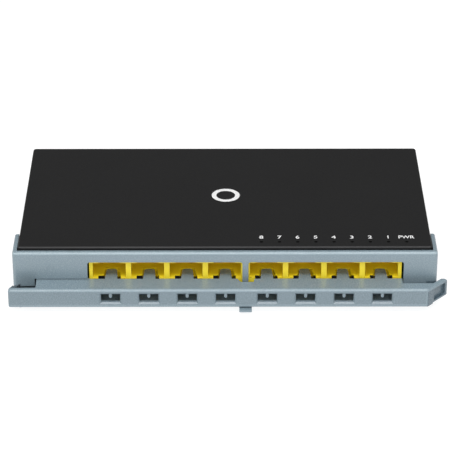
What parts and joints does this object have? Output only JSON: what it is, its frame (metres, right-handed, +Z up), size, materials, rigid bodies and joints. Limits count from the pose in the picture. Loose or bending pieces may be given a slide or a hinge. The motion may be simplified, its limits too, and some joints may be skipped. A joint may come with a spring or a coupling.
{
  "type": "desktop network switch",
  "caption": "Flat desktop network switch with two rows of modular network ports, a swinging plug-lock bar in front of them, indicator holes and a rear power inlet.",
  "frame": {"origin": "middle of the overall box, on the surface that the feet stand on", "axes": "+X right seen from the ports, +Y to the back, +Z up"},
  "size_m": [0.1594, 0.0932, 0.0221],
  "materials": {
    "black_case": "fine matt texture",
    "grey_frame": "satin moulded",
    "yellow_jack": "moulded",
    "gold_contact": "gold plated",
    "black_part": "moulded epoxy",
    "steel": "zinc plated",
    "board": "green solder mask",
    "pad": "soft",
    "sink": "plain",
    "clear": "clear moulded",
    "lamp": "clear resin",
    "rubber": "matt"
  },
  "bodies": {
    "housing": {"top_cover": "black_case", "base_tray": "black_case", "front_frame": "grey_frame", "left_jack_row": "yellow_jack", "right_jack_row": "yellow_jack", "inlet_jack": "black_part", "hinge_pin": "steel", "pin_clip": "steel", "circuit_board": "board", "switch_chip": "black_part", "thermal_pad": "pad", "heat_sink": "sink", "memory_chip": "black_part", "power_chip": "black_part", "clock_crystal": "sink", "power_coil": "black_part", "inlet_capacitor": "sink", "output_capacitor": "sink", "magnetics_1": "black_part", "magnetics_2": "black_part", "magnetics_3": "black_part", "magnetics_4": "black_part", "inlet_contact": "steel", "light_guide": "clear", "left_jack_contacts": "gold_contact", "right_jack_contacts": "gold_contact", "board_screws": "steel", "case_screws": "steel", "frame_screws": "steel", "lamp_1": "lamp", "lamp_2": "lamp", "lamp_3": "lamp", "lamp_4": "lamp", "lamp_5": "lamp", "lamp_6": "lamp", "lamp_7": "lamp", "lamp_8": "lamp", "lamp_9": "lamp", "front_left_foot": "rubber", "front_right_foot": "rubber", "back_left_foot": "rubber", "back_right_foot": "rubber"},
    "gate": {"gate_bar": "grey_frame"},
    "catch": {"gate_catch": "grey_frame"}
  },
  "joints": [
    {"name": "gate_hinge", "type": "hinge", "parent": "housing", "child": "gate", "pos_m": [-0.0755, -0.04155, 0.005], "axis": [0, 0, -1], "range_deg": [0, 90]},
    {"name": "catch_flex", "type": "hinge", "parent": "housing", "child": "catch", "pos_m": [0.0062, -0.0361, 0.00215], "axis": [1, 0, 0], "range_deg": [0, 6], "stiffness_Nm_per_rad": 0.05}
  ]
}
